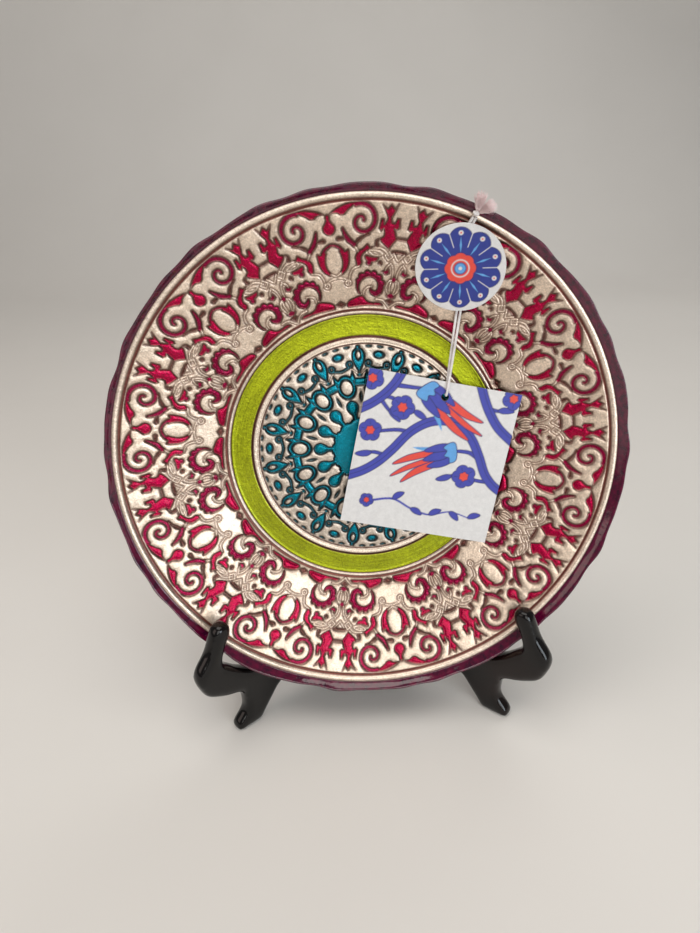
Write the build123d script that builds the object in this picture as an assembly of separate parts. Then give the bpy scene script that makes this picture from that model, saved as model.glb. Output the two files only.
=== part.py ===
from build123d import *
import math
import os

# Souvenir plate on its folding display stand, with a round label and a square card hung on a cord.
# Millimetres. X to the right of someone facing the plate, Y to the back, Z up, the tabletop at Z = 0.

# ---- driving dimensions -------------------------------------------------------------------------
PLATE_RADIUS = 125.0            # outermost edge of the glass
GOLD_RADIUS = 120.0             # where the coloured rim band begins
GREEN_OUTER_RADIUS = 66.2       # plain ring round the middle
GREEN_INNER_RADIUS = 56.6
BOWL_DEPTH = 20.3               # from the plane of the gold edge down to the flat middle
RIM_RISE = 4.1                  # how far the rim band flares above the gold edge
GLASS = 5.0                     # wall of the slumped glass
RING_HEIGHT = 0.7               # raised rings on both sides of the plain ring
RING_WIDTH = 2.4

PLATE_LEAN = 10.93              # degrees that the plate leans back
PLATE_HEIGHT = 145.1            # centre of the gold edge's plane above the table

LABEL_CENTRE = (44.2, 87.7)     # in the plate's plane: to the right, and up
LABEL_RADIUS = 20.3
LABEL_THICK = 0.6
LABEL_STANDOFF = 2.1            # the cord runs behind the label

CARD_CENTRE = (31.5, -4.1)
CARD_WIDTH = 76.0
CARD_HEIGHT = 78.5
CARD_THICK = 0.5
CARD_TURN = -12.1               # degrees, anticlockwise from upright
CARD_DEPTH = 13.9               # front of the card below the gold edge's plane
CARD_HOLE_RADIUS = 1.95
CARD_HOLE_BELOW_TOP = 7.6
CARD_HOLE_RIGHT = 0.8

CORD_DIAMETER = 1.2

AXIS_Y = 30.4                   # the stand's hinge axis, behind the plate
HOOK_POINT = (74.0, -25.0)      # where a leaf's middle plane passes under the plate's rim
LEAF_THICK = 9.0
LEAF_GAP = 0.3                  # from the hinge axis to a leaf's inner face
EDGE_ROUND = 2.6                # rounded edges of the lacquered wood
BARREL_RADIUS = 6.5
PIN_RADIUS = 1.5
PIN_RUNNING = 0.06              # radial clearance in the leaf that turns
PIN_HEAD_RADIUS = 2.8
PIN_HEAD_HEIGHT = 1.2
BARREL_TOP = 132.0
BARREL_BOTTOM = 4.0
TOP_KNUCKLE = 100.0             # the fixed leaf's upper knuckle reaches from here to the top
BOTTOM_KNUCKLE = 36.0           # its lower knuckle reaches up to here
KNUCKLE_GAP = 0.6
WEB_REACH = 8.6                 # each knuckle is rooted this far into its leaf
WEB_ROUND = 5.5                 # its rounded outer corner

SLOPE_FOOT = GREEN_OUTER_RADIUS + 1.5   # the flat middle ends and the slope of the bowl begins
SLOPE = BOWL_DEPTH / (GOLD_RADIUS - SLOPE_FOOT)


# ---- the plate ----------------------------------------------------------------------------------
def plate_plane():
    lean = math.radians(PLATE_LEAN)
    return Plane(
        origin=(0, 0, PLATE_HEIGHT), x_dir=(1, 0, 0), z_dir=(0, -math.cos(lean), math.sin(lean))
    )


def wall_height(radius):
    """Height of the plate's front face over the gold edge's plane, at a radius on its slope."""
    return -SLOPE * (GOLD_RADIUS - radius)


def on_plate(shape):
    """Moves a shape drawn in the plate's own plane to where the plate stands."""
    return plate_plane().location * shape


def ring_bead(inner_radius):
    """A low raised ring on the plate's flat middle."""
    disc = Cylinder(inner_radius + RING_WIDTH, RING_HEIGHT * 2)
    return Pos(0, 0, -BOWL_DEPTH) * (disc - Cylinder(inner_radius, RING_HEIGHT * 2))


def glass_plate():
    floor = -BOWL_DEPTH
    front = [
        (0, floor),
        (SLOPE_FOOT, floor),
        (GOLD_RADIUS, 0),
        (PLATE_RADIUS - 0.6, RIM_RISE),
        (PLATE_RADIUS, RIM_RISE - 0.5),
    ]
    back = [
        (PLATE_RADIUS - 0.4, -1.0),
        (GOLD_RADIUS - 1.0, -GLASS - 0.2),
        (SLOPE_FOOT - 1.0, floor - GLASS - 0.3),
        (0, floor - GLASS - 0.3),
    ]
    section = make_face(Polyline(*front, *back, close=True))
    section = Plane.XZ.location * section
    body = revolve(section, Axis.Z, 360)
    body += ring_bead(GREEN_INNER_RADIUS - 1.0 - RING_WIDTH)
    body += ring_bead(GREEN_OUTER_RADIUS + 0.2)
    return on_plate(body)


# ---- round label and square card ----------------------------------------------------------------
def label_plane():
    """The label lies along the bowl's slope, its back LABEL_STANDOFF above the glass."""
    x, y = LABEL_CENTRE
    radius = math.hypot(x, y)
    steep = math.atan(SLOPE)
    normal = (-math.sin(steep) * x / radius, -math.sin(steep) * y / radius, math.cos(steep))
    surface = Vector(x, y, wall_height(radius))
    return Plane(origin=surface + Vector(*normal) * LABEL_STANDOFF, z_dir=normal)


def round_label():
    disc = Cylinder(LABEL_RADIUS, LABEL_THICK, align=(Align.CENTER, Align.CENTER, Align.MIN))
    return on_plate(label_plane().location * disc)


def card_tag():
    card = Box(CARD_WIDTH, CARD_HEIGHT, CARD_THICK, align=(Align.CENTER, Align.CENTER, Align.MAX))
    hole = Cylinder(CARD_HOLE_RADIUS, 4 * CARD_THICK)
    card -= Pos(CARD_HOLE_RIGHT, CARD_HEIGHT / 2 - CARD_HOLE_BELOW_TOP, 0) * hole
    placed = Pos(CARD_CENTRE[0], CARD_CENTRE[1], -CARD_DEPTH) * Rot(0, 0, CARD_TURN) * card
    return on_plate(placed)


# ---- cord, knot and frayed ends -------------------------------------------------------------------
# The loop comes out from behind the label, goes down in front of the card, through its hole, and
# up again behind the card. Points are to the right, up and out, in the plate's plane.
LOOP_ROUTE = [
    (45.9, 69.7, -13.20),
    (45.7, 66.6, -14.20),
    (39.4, 27.7, -12.55),
    (39.4, 27.7, -15.45),
    (43.9, 66.6, -14.60),
    (44.1, 69.7, -13.50),
]
SWING_POINT = (44.9, 67.6)

NECK_ROUTES = (
    [(45.3, 104.2, -1.45), (47.6, 108.3, 1.31)],
    [(46.9, 103.8, -1.45), (48.9, 107.9, 1.31)],
)
KNOT_CENTRE = (48.6, 109.6, 3.3)
KNOT_RADIUS = 1.7
FRAYED_ENDS = {
    "frayed_end_left": (49.6, 117.4, 8.4),
    "frayed_end_right": (55.6, 112.9, 7.9),
}
FRAY_START_RADIUS = 0.75
FRAY_END_RADIUS = 2.1


def corner_radii(points):
    """Each corner's arc is as large as its two runs allow."""
    radii = []
    for before, corner, after in zip(points, points[1:], points[2:]):
        run_in = Vector(*corner) - Vector(*before)
        run_out = Vector(*after) - Vector(*corner)
        half_turn = math.radians(run_in.get_angle(run_out)) / 2
        radii.append(0.45 * min(run_in.length, run_out.length) / math.tan(half_turn))
    return radii


def tube(points, diameter):
    path = FilletPolyline(*points, radius=corner_radii(points))
    start = Plane(origin=path @ 0, z_dir=path % 0)
    return sweep(start * Circle(diameter / 2), path=path), path.length


def cord_loop():
    loop, length = tube(LOOP_ROUTE, CORD_DIAMETER)
    section = math.pi * CORD_DIAMETER**2 / 4
    print("cord loop length", round(length, 2), "volume", round(loop.volume, 2), "section x length",
          round(section * length, 2), "radii", [round(r, 2) for r in corner_radii(LOOP_ROUTE)])
    return on_plate(loop)


def cord_neck():
    strands = []
    for start, end in NECK_ROUTES:
        line = Line(start, end)
        strands.append(sweep(Plane(origin=line @ 0, z_dir=line % 0) * Circle(CORD_DIAMETER / 2), line))
    return on_plate(Compound(children=[s.solid() for s in strands]))


def cord_knot():
    knot = Pos(*KNOT_CENTRE) * Sphere(KNOT_RADIUS)
    return on_plate(knot)


def frayed_end(tip):
    centre = Vector(*KNOT_CENTRE)
    along = (Vector(*tip) - centre).normalized()
    start = centre + along * (KNOT_RADIUS + 0.1)
    length = (Vector(*tip) - start).length
    cone = Cone(
        FRAY_START_RADIUS, FRAY_END_RADIUS, length, align=(Align.CENTER, Align.CENTER, Align.MIN)
    )
    return on_plate(Plane(origin=start, z_dir=along).location * cone)


# ---- folding stand --------------------------------------------------------------------------------
# A leaf's outline: distance from the hinge axis, height, and the radius of each corner.
LEAF_OUTLINE = [
    (7.2, 0, 2),            # rear foot
    (22, 0, 3),
    (28, 13, 8),            # arch between the feet
    (47, 21, 12),
    (63.5, 16, 7),
    (76.5, 0, 2),           # front foot
    (92, 0, 2),
    (92.5, 4, 2),           # toe
    (85, 11.5, 6),
    (86.5, 25, 4),
    (97, 28.5, 8),          # belly
    (107, 34, 9),
    (112.3, 48.5, 10),
    (103.4, 59, 14),
    (97.2, 74, 4.6),        # tip of the hook
    (86.0, 72.3, 4.6),
    (92.2, 61, 12),
    (96.0, 52, 4),
    (94.8, 49.2, 3),        # slot for the plate's rim
    (87.6, 42.2, 5),
    (80, 37.0, 5),
    (73, 37.0, 5),
    (64.5, 43.2, 5),        # shoulder behind the rim
    (50, 50, 10),
    (36, 58, 14),
    (24, 76, 40),           # upright
    (18.5, 95, 30),
    (12.5, 119, 3),
    (7.2, 119, 1.5),
]


def leaf_direction():
    """The inner face of the right leaf passes through the hinge axis and clears it by LEAF_GAP."""
    offset = LEAF_GAP + LEAF_THICK / 2
    across, back = HOOK_POINT[0], AXIS_Y - HOOK_POINT[1]
    reach = math.hypot(across, back)
    return math.atan2(across, back) - math.asin(offset / reach)


def right_leaf_plane():
    angle = leaf_direction()
    outward = (math.sin(angle), -math.cos(angle), 0)
    inward = (-math.cos(angle), -math.sin(angle), 0)
    return Plane(origin=(0, AXIS_Y, 0), x_dir=outward, z_dir=inward)


def board():
    points = [(s, z) for s, z, _ in LEAF_OUTLINE]
    radii = [r for _, _, r in LEAF_OUTLINE]
    outline = make_face(FilletPolyline(*points, radius=radii, close=True))
    slab = extrude(outline, LEAF_THICK)
    low, high = slab.faces().sort_by(Axis.Z)[0], slab.faces().sort_by(Axis.Z)[-1]
    slab = fillet(low.edges() + high.edges(), EDGE_ROUND)
    return Pos(0, 0, -LEAF_THICK - LEAF_GAP) * slab


def knuckle(low, high, hole_radius):
    """Barrel round the hinge axis with its web into the board, drawn in the leaf's plane."""
    height = high - low
    upright = Pos(0, low, 0) * Rot(-90, 0, 0)
    barrel = upright * Cylinder(
        BARREL_RADIUS, height, align=(Align.CENTER, Align.CENTER, Align.MIN)
    )
    web = Box(WEB_REACH, height, LEAF_THICK, align=(Align.MIN, Align.MIN, Align.MAX))
    outer_corner = web.edges().filter_by(Axis.Y).sort_by(lambda e: e.center().X + e.center().Z)[0]
    web = Pos(0, low, -LEAF_GAP) * fillet(outer_corner, WEB_ROUND)
    bore = upright * Cylinder(hole_radius, height, align=(Align.CENTER, Align.CENTER, Align.MIN))
    return barrel + web, bore


def stand_leaf(ranges, hole_radius):
    leaf = board()
    bores = []
    for low, high in ranges:
        solid, bore = knuckle(low, high, hole_radius)
        leaf += solid
        bores.append(bore)
    for bore in bores:
        leaf -= bore
    return right_leaf_plane().location * leaf


def stand_leaf_right():
    ranges = [(BARREL_BOTTOM, BOTTOM_KNUCKLE), (TOP_KNUCKLE, BARREL_TOP)]
    return stand_leaf(ranges, PIN_RADIUS)


def stand_leaf_left():
    ranges = [(BOTTOM_KNUCKLE + KNUCKLE_GAP, TOP_KNUCKLE - KNUCKLE_GAP)]
    return mirror(stand_leaf(ranges, PIN_RADIUS + PIN_RUNNING), about=Plane.YZ)


def hinge_pin():
    shank = Cylinder(
        PIN_RADIUS, BARREL_TOP - BARREL_BOTTOM, align=(Align.CENTER, Align.CENTER, Align.MIN)
    )
    head = Cylinder(
        PIN_HEAD_RADIUS, PIN_HEAD_HEIGHT, align=(Align.CENTER, Align.CENTER, Align.MIN)
    )
    head = fillet(head.edges().sort_by(Axis.Z)[-1:], 0.8)
    pin = Pos(0, 0, BARREL_BOTTOM) * shank + Pos(0, 0, BARREL_TOP) * head
    return Pos(0, AXIS_Y, 0) * pin


# ---- assembly ---------------------------------------------------------------------------------------
def main():
    nodes = {
        "glass_plate": glass_plate(),
        "round_label": round_label(),
        "card_tag": card_tag(),
        "cord_loop": cord_loop(),
        "cord_neck": cord_neck(),
        "cord_knot": cord_knot(),
        "stand_leaf_right": stand_leaf_right(),
        "stand_leaf_left": stand_leaf_left(),
        "hinge_pin": hinge_pin(),
    }
    for name, tip in FRAYED_ENDS.items():
        nodes[name] = frayed_end(tip)
    # The origin is the middle of the footprint, so everything shifts by half its depth.
    cord_parts = {"cord_loop", "cord_neck", "cord_knot", *FRAYED_ENDS}
    boxes = [shape.bounding_box() for name, shape in nodes.items() if name not in cord_parts]
    shift = -(min(b.min.Y for b in boxes) + max(b.max.Y for b in boxes)) / 2
    print("shift in Y", round(shift, 4), "leaf half angle", round(math.degrees(leaf_direction()), 4))
    os.makedirs("parts", exist_ok=True)
    for name, shape in nodes.items():
        export_step(Pos(0, shift, 0) * shape, f"parts/{name}.step")


main()
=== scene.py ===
import math

import bpy
import numpy as np
from mathutils import Matrix, Vector
from mathutils.bvhtree import BVHTree


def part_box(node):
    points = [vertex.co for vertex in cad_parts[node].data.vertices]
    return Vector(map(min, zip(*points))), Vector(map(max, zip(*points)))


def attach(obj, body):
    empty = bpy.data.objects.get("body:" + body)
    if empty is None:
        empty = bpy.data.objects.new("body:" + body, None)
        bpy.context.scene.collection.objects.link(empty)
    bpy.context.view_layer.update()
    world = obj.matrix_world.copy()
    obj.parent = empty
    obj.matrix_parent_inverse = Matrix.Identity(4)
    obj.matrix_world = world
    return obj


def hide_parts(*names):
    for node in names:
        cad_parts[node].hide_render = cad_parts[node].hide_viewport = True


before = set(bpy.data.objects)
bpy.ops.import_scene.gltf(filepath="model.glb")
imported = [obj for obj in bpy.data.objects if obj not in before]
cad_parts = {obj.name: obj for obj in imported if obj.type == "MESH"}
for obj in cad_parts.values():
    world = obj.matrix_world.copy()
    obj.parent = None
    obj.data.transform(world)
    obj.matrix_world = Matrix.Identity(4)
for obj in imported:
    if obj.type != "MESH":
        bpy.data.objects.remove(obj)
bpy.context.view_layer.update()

MM = 0.001
FAR = 9.0                                  # further than any line's effect, in mm

# ---- the plate's own frame: right, up its slope, and out of its face --------------------------------
PLATE_LEAN = math.radians(10.93)
PLATE_HEIGHT = 145.1
HINGE_Y = 30.4
pin_low, pin_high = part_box("hinge_pin")
SHIFT_Y = (pin_low.y + pin_high.y) / 2 / MM - HINGE_Y
ORIGIN = np.array([0.0, SHIFT_Y, PLATE_HEIGHT])
RIGHT = np.array([1.0, 0.0, 0.0])
UP = np.array([0.0, math.sin(PLATE_LEAN), math.cos(PLATE_LEAN)])
OUT = np.array([0.0, -math.cos(PLATE_LEAN), math.sin(PLATE_LEAN)])

PLATE_RADIUS = 125.0
GOLD_RADIUS = 120.0
SLOPE_FOOT = 67.7                          # radius where the slope meets the flat middle
BOWL_DEPTH = 20.3
RIM_RISE = 4.1
SLOPE = BOWL_DEPTH / (GOLD_RADIUS - SLOPE_FOOT)


def to_frame(x, y, z):
    """Millimetres in the plate's frame to metres in the row frame."""
    x, y, z = np.broadcast_arrays(np.asarray(x, float), y, z)
    flat = np.stack([x.ravel(), y.ravel(), z.ravel()], 1)
    return (ORIGIN + flat @ np.stack([RIGHT, UP, OUT])) * MM


# ---- drawing with curves -----------------------------------------------------------------------------
def smooth(points, closed=False, steps=6):
    """A smooth curve through the points."""
    p = np.array(points, float)
    n = len(p)
    out = []
    for i in range(n if closed else n - 1):
        a, b, c, d = (p[(i + k) % n] if closed else p[min(max(i + k, 0), n - 1)] for k in (-1, 0, 1, 2))
        for t in np.linspace(0, 1, steps, endpoint=False):
            square = (2 * a - 5 * b + 4 * c - d) * t**2
            cube = (3 * b - a - 3 * c + d) * t**3
            out.append(0.5 * (2 * b + (c - a) * t + square + cube))
    if not closed:
        out.append(p[-1])
    return np.array(out)


def mirrored(points):
    """A closed outline from its right half, whose first and last points are on the axis."""
    return points + [(-a, b) for a, b in points[-2:0:-1]]


def segments(x, y, line, closed=False):
    """Distance to a polyline, and how far along it the nearest point is, from 0 to 1."""
    p = np.asarray(line, float)
    q = np.roll(p, -1, 0) if closed else p[1:]
    p = p if closed else p[:-1]
    lengths = np.hypot(*(q - p).T)
    before = np.concatenate([[0], np.cumsum(lengths)[:-1]])
    best = np.full(x.shape, 1e9)
    along = np.zeros(x.shape)
    for (ax, ay), (bx, by), length, start in zip(p, q, lengths, before):
        if length < 1e-9:
            continue
        t = np.clip(((x - ax) * (bx - ax) + (y - ay) * (by - ay)) / length**2, 0, 1)
        d = np.hypot(x - ax - t * (bx - ax), y - ay - t * (by - ay))
        near = d < best
        best = np.where(near, d, best)
        along = np.where(near, (start + t * length) / lengths.sum(), along)
    return best, along


def within(x, y, outline):
    """True inside a closed outline."""
    p = np.asarray(outline, float)
    q = np.roll(p, -1, 0)
    odd = np.zeros(x.shape, bool)
    for (ax, ay), (bx, by) in zip(p, q):
        if ay == by:
            continue
        crosses = (ay > y) != (by > y)
        odd ^= crosses & (x < (bx - ax) * (y - ay) / (by - ay) + ax)
    return odd


def beside(x, y, line, margin):
    """True in a line's box grown by a margin, the only place where its distance matters."""
    low, high = line.min(0) - margin, line.max(0) + margin
    return (x > low[0]) & (x < high[0]) & (y > low[1]) & (y < high[1])


def fill_distance(x, y, outline):
    """Signed distance to a closed outline, negative inside."""
    outline = np.asarray(outline, float)
    near = beside(x, y, outline, 4)
    out = np.full(x.shape, FAR)
    d, _ = segments(x[near], y[near], outline, True)
    out[near] = np.where(within(x[near], y[near], outline), -d, d)
    return out


def stroke_distance(x, y, line, widths):
    """Signed distance to a band along a line, whose half widths are given from its start to its end."""
    line = np.asarray(line, float)
    near = beside(x, y, line, 5)
    out = np.full(x.shape, FAR)
    d, along = segments(x[near], y[near], line)
    widths = np.atleast_1d(np.asarray(widths, float))
    out[near] = d - np.interp(along, np.linspace(0, 1, len(widths)), widths)
    return out


def step(value, low, high):
    """0 below low, 1 above high, and smooth between them."""
    t = np.clip((value - low) / (high - low), 0, 1)
    return t * t * (3 - 2 * t)


# ---- the ornament ------------------------------------------------------------------------------------
# Millimetres from a repeat's axis (x, always counted outwards from it) and from the plate's middle (y).
class Relief:
    """Heights and colours over a patch of the plate, drawn shape by shape, in any order."""

    def __init__(self, shape):
        self.nearest = np.full(shape, FAR)
        self.sunk, self.line, self.groove_shade, self.ridge, self.inside = (np.zeros(shape) for _ in range(5))
        self.fill = {name: np.zeros(shape) for name in ENAMELS}

    def enamel(self, d, colour, depth=0.75, dome=0.3):
        """A sunken, coloured shape with a rounded floor."""
        inner = np.clip(-d, 0, 4)
        floor = depth * step(inner, 0.0, 0.5) - dome * step(inner, 0.45, 1.7)
        self.inside = np.maximum(self.inside, inner)
        self.sunk = np.maximum(self.sunk, np.where(d < 0, floor, 0))
        self.fill[colour] = np.maximum(self.fill[colour], step(-d, 0.15, 0.5))
        self.line = np.maximum(self.line, 1 - step(np.abs(d - 0.02), 0.22, 0.66))
        self.nearest = np.minimum(self.nearest, np.maximum(d, 0))

    def raised_line(self, d, strength=1.0):
        """A thin raised line between two fine grooves. d is the distance to its middle."""
        groove_at = 0.55
        groove = strength * np.exp(-(((d - groove_at) / 0.28) ** 2))
        # painted shade: a wide brown band beside the grooves, which paint() mixes into the metal
        groove_shade = 0.8 * strength * np.exp(-(((d - groove_at) / 0.8) ** 2))
        self.ridge = np.maximum(self.ridge, strength * (1 - step(d, 0.05, 0.4)))
        self.sunk = np.maximum(self.sunk, 0.5 * groove)
        self.line = np.maximum(self.line, 0.8 * groove)
        self.groove_shade = np.maximum(self.groove_shade, groove_shade)

    def outlines(self, x, y, shapes, colour, depth=0.75, dome=0.3, steps=4):
        """Enamelled outlines, smoothed, or with their corners kept where steps is 0."""
        for points in shapes:
            outline = smooth(points, True, steps) if steps else points
            self.enamel(fill_distance(x, y, outline), colour, depth, dome)

    def bands(self, x, y, lines, colour, depth=0.75, dome=0.3):
        """Enamelled bands: each is a line and its half widths from one end to the other."""
        for points, widths in lines:
            self.enamel(stroke_distance(x, y, points, widths), colour, depth, dome)

    def raised_lines(self, x, y, lines, strength=1.0):
        for points in lines:
            self.raised_line(segments(x, y, points)[0], strength)

    def dots(self, x, y, places, colour, depth=0.75):
        """Round spots: each place is a middle and a radius."""
        for cx, cy, radius in places:
            self.enamel(np.hypot(x - cx, y - cy) - radius, colour, depth)

    def pillow(self):
        """How far the metal falls beside the enamel."""
        return 0.42 * np.exp(-self.nearest / 0.8)

    def height(self):
        return -self.pillow() - self.sunk + 0.1 * self.ridge


def scroll_line():
    """The spiral of the rim's scrolls: its arm shortens evenly as it winds in."""
    cx, cy, count = 15.0, 107.2, 60
    turn = np.radians(np.linspace(104, -356, count))
    arm = np.linspace(7.3, 0.7, count)
    return np.stack([cx + arm * np.cos(turn), cy + arm * np.sin(turn)], 1)


TEARDROP = [(0, 112.2), (1.0, 111.4), (0.9, 109.9), (1.6, 108.5), (2.6, 107.2), (2.8, 105.9), (2.2, 104.5),
            (1.0, 103.6), (0, 103.4)]
LEAF_ON_SCROLL = [(0.9, 111.9), (3.6, 113.6), (7.5, 114.9), (11.0, 115.4), (14.0, 115.0), (11.8, 113.7),
                  (9.4, 112.5), (7.8, 111.2), (6.0, 111.0), (4.6, 111.9), (2.6, 112.2)]
SPRIG = [(6.0, 105.4), (6.7, 102.9), (7.9, 100.4), (9.9, 98.3)]
SPRIG_KNOB = [(3.4, 101.5), (6.6, 101.3)]
SPRIG_BRANCH = [(10.2, 98.2), (12.3, 99.6), (14.4, 100.7), (16.9, 101.7)]
SPRIG_FOOT = [(9.9, 97.9), (11.6, 94.6)]
RING_SIDE = [(7.2, 96.4), (7.2, 93.3), (6.6, 90.3), (5.1, 87.7), (2.8, 86.2), (2.4, 87.3), (3.5, 89.6),
             (3.8, 92.2), (3.3, 95.1), (2.9, 96.4), (4.6, 97.2), (5.6, 95.9)]
RING_TOP = [(4.5, 96.3), (2.8, 98.2), (0, 99.3), (-2.8, 98.2)]
RING_POINT = [(2.7, 86.9), (0, 85.3)]
BRACKET = [(10.9, 88.4), (7.8, 87.5), (6.3, 85.4), (5.7, 83.3)]
BRACKET_LINK = [(4.3, 83.4), (2.2, 84.3), (0, 84.6)]
LOZENGE = [(0, 74.0), (2.9, 72.2), (0, 71.0), (-2.9, 72.2)]

TULIP = [(4.1, 115.5), (5.5, 113.4), (7.2, 114.9), (8.6, 113.0), (11.0, 114.3), (8.9, 111.3), (7.8, 109.4),
         (8.1, 108.0), (8.8, 106.6), (9.4, 108.8), (10.7, 108.7), (10.9, 104.6), (9.9, 103.6), (8.8, 104.8),
         (8.1, 103.0), (8.2, 101.6), (9.9, 100.4), (8.8, 99.1), (7.1, 97.9), (4.9, 96.6), (3.6, 99.1),
         (2.2, 101.1), (3.3, 103.8), (4.0, 105.3), (2.9, 105.1), (1.8, 106.0), (2.3, 109.7), (3.6, 109.8),
         (4.3, 107.6), (5.5, 107.8), (6.1, 109.6), (5.3, 111.5)]
TULIP_BAR = [(0, 101.4), (2.4, 101.4)]
TULIP_HOOK = [(10.2, 99.9), (11.0, 99.0), (10.6, 97.6)]
HOOK = [(17.4, 87.2), (18.7, 89.2), (19.3, 91.3), (18.4, 93.8), (16.4, 95.5), (14.9, 97.5), (13.5, 96.4),
        (11.9, 96.4), (14.2, 94.9), (15.9, 93.2), (16.6, 91.2), (15.9, 89.0)]
HOOK_RIBBON = [(12.2, 96.0), (8.8, 96.4), (6.3, 95.4), (4.8, 93.8)]
ALMOND = [(7.4, 94.0), (10.6, 95.2), (13.9, 94.6), (11.0, 92.9)]
FOLD = [(9.0, 92.5), (12.0, 92.4), (14.9, 92.6), (14.6, 91.0), (12.9, 89.8), (11.0, 90.2), (9.4, 90.8)]
LINK_BAR = [(-2.6, 95.6), (0, 95.9), (2.6, 95.6)]
LINK_CROSS = [(2.5, 95.0), (0, 91.8)]
LINK_SQUARE = [(4.4, 95.4), (6.2, 93.5), (4.4, 91.6), (2.6, 93.5), (4.4, 95.4)]
STEM = [(2.9, 90.6), (1.7, 88.9), (1.0, 86.4), (0.9, 84.4)]
STEM_ARCH = [(2.9, 90.5), (4.3, 88.7), (4.6, 87.4)]
STEM_LEAF = [(3.2, 88.2), (6.4, 86.6), (4.4, 85.2), (2.6, 86.2)]
BULB_PETAL = [(1.1, 83.0), (1.4, 80.3), (0.9, 77.4)]
DIAMOND = [(0, 75.3), (1.8, 73.7), (0, 72.0), (-1.8, 73.7)]
MOON = [(9.6, 79.2), (11.5, 78.5), (12.8, 76.8), (12.6, 75.1)]
WAVE = [(3.0, 71.3), (3.6, 72.2), (5.4, 72.6), (8.0, 72.1), (10.6, 72.6), (12.2, 74.1), (13.9, 74.5),
        (16.0, 73.4), (18.6, 71.6), (19.6, 69.6), (18.7, 68.3), (15.0, 69.2), (10.0, 70.4), (5.1, 71.0)]
OGEE = [(0, 70.6), (2.3, 72.9), (4.0, 73.7), (6.6, 73.7)]
SERRATED_TIP = [(5.9, 77.4), (7.2, 76.3), (9.0, 76.9), (10.0, 78.2)]


def oval(x, y, cy, rx, ry):
    """0 on an oval about the axis, negative inside it, and 1 at twice its size."""
    return np.hypot(x / rx, (y - cy) / ry) - 1


def draw_scroll_axis(relief, x, y):
    """The repeat's half round the scrolls, teardrop and oval ring."""
    relief.bands(x, y, [(scroll_line(), [1.15, 1.15, 1.05, 0.95, 0.75])], "purple", 0.5, 0.25)
    relief.outlines(x, y, [LEAF_ON_SCROLL], "magenta", steps=6)
    relief.outlines(x, y, [mirrored(TEARDROP), RING_SIDE], "magenta")
    relief.outlines(x, y, [LOZENGE], "brown", 0.35, steps=0)
    relief.bands(x, y, [(smooth(SPRIG), [0.6, 1.0, 1.25, 1.0])], "purple")
    relief.bands(x, y, [(smooth(RING_TOP), [0.9, 0.7, 0.7])], "purple", 0.5)
    relief.bands(x, y, [(SPRIG_KNOB, [0.95, 0.5])], "brown", 0.5)
    relief.bands(x, y, [(smooth(SPRIG_BRANCH), [0.5, 0.8, 0.5, 0.85])], "brown", 0.5)
    relief.dots(x, y, [(10.1, 98.1, 1.2)], "purple")
    relief.raised_lines(x, y, [SPRIG_FOOT, RING_POINT, smooth(BRACKET)])
    relief.raised_lines(x, y, [smooth(BRACKET_LINK)], 0.8)
    relief.raised_line(np.abs(np.hypot(x - 4.9, y - 81.8) - 1.15))


def serrated_scroll(x, y):
    """The broad toothed scroll near the plain ring: its distance function."""
    cx, cy, arm = 10.8, 79.2, 5.35
    start, end = -52, 205                  # degrees
    angle = np.degrees(np.arctan2(y - cy, x - cx))
    angle = np.where(angle < -95, angle + 360, angle)
    half = np.interp(angle, [start, 0, 50, 90, 150, 200], [0.35, 0.8, 1.15, 1.2, 1.3, 1.5])
    teeth = 0.95 * np.abs(np.sin(np.radians(angle) * 6.2)) * step(angle, 0, 30) * (1 - step(angle, 170, 190))
    radius = np.hypot(x - cx, y - cy)
    band = np.maximum(arm - half - radius, radius - arm - half - teeth)
    tip = stroke_distance(x, y, smooth(SERRATED_TIP), [1.45, 1.4, 1.1, 0.5])
    return np.minimum(np.where((angle > start) & (angle < end), band, FAR), tip)


def draw_tulip_axis(relief, x, y):
    """The repeat's half round the pair of tulips and the broad scrolls."""
    relief.outlines(x, y, [TULIP], "magenta", 0.85, steps=0)
    relief.outlines(x, y, [HOOK], "magenta")
    relief.outlines(x, y, [FOLD], "magenta", 0.6)
    relief.outlines(x, y, [WAVE], "magenta", 0.8, 0.55)
    relief.outlines(x, y, [STEM_LEAF], "purple", 0.5, steps=0)
    relief.outlines(x, y, [DIAMOND], "brown", 0.4, steps=0)
    relief.dots(x, y, [(12.7, 89.6, 1.3), (0, 83.8, 1.35)], "purple", 0.5)
    relief.dots(x / 1.5, y, [(0, 76.2, 1.35)], "purple", 0.5)
    relief.dots(x, y, [(7.7, 90.2, 0.95)], "brown", 0.4)
    relief.enamel(serrated_scroll(x, y), "purple", 0.8, 0.4)
    relief.bands(x, y, [(TULIP_BAR, 0.65)], "brown", 0.3)
    relief.bands(x, y, [(smooth(TULIP_HOOK), [0.5, 0.8])], "brown", 0.4)
    relief.bands(x, y, [(smooth(LINK_BAR), 0.7)], "brown", 0.35)
    relief.raised_lines(x, y, [LINK_CROSS, LINK_SQUARE])
    relief.raised_lines(x, y, map(smooth, (HOOK_RIBBON, STEM, STEM_ARCH, BULB_PETAL, OGEE)))
    relief.raised_lines(x, y, [smooth(MOON)], 0.9)
    relief.raised_line(segments(x, y, smooth(ALMOND, True, 4), True)[0], 0.8)
    relief.raised_line(np.abs(oval(x, y, 80.1, 2.9, 3.5)) * 3.0)


def polar(radius, angle_from_axis):
    """x outwards from a repeat's axis, y from the middle of the plate."""
    return radius * np.sin(angle_from_axis), radius * np.cos(angle_from_axis)


FIELD_REPEATS = 10
MEDALLION_REPEATS = 15
FIELD_PHASE = math.radians(10.0)          # clockwise from the top to the first pair of tulips
MEDALLION_PHASE = math.radians(-2.9)
FIELD_COLUMNS = 90                        # in half a repeat
MEDALLION_COLUMNS = 30
CELL = 0.36                               # mm between two rings of points


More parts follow.
